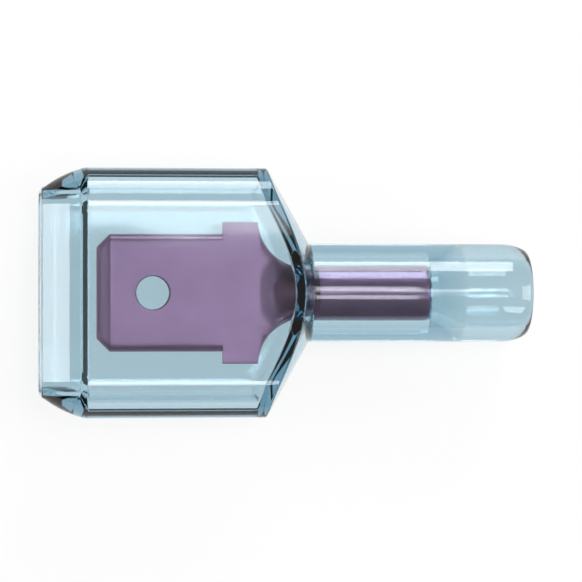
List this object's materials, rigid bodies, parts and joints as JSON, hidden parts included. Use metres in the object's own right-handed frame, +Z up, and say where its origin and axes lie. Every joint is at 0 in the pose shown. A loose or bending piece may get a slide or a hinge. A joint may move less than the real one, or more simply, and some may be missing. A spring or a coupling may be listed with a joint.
{
  "type": "insulated male spade terminal",
  "caption": "Male spade terminal whose flat tab stands inside a clear blue insulating shroud, with a round sleeve for a crimped wire.",
  "frame": {"origin": "centre of the bounding box's bottom, in the plane that the part's broad face rests on", "axes": "+X along the wire axis from the mouth towards the wire end, +Y across the tab, +Z up through the tab's thickness"},
  "size_m": [0.0264, 0.0132, 0.007],
  "materials": {
    "clear_plastic": "clear, lightly tinted, smooth moulded",
    "tinned_metal": "satin plated sheet"
  },
  "bodies": {
    "root": {"housing": "clear_plastic", "terminal": "tinned_metal"}
  },
  "joints": []
}
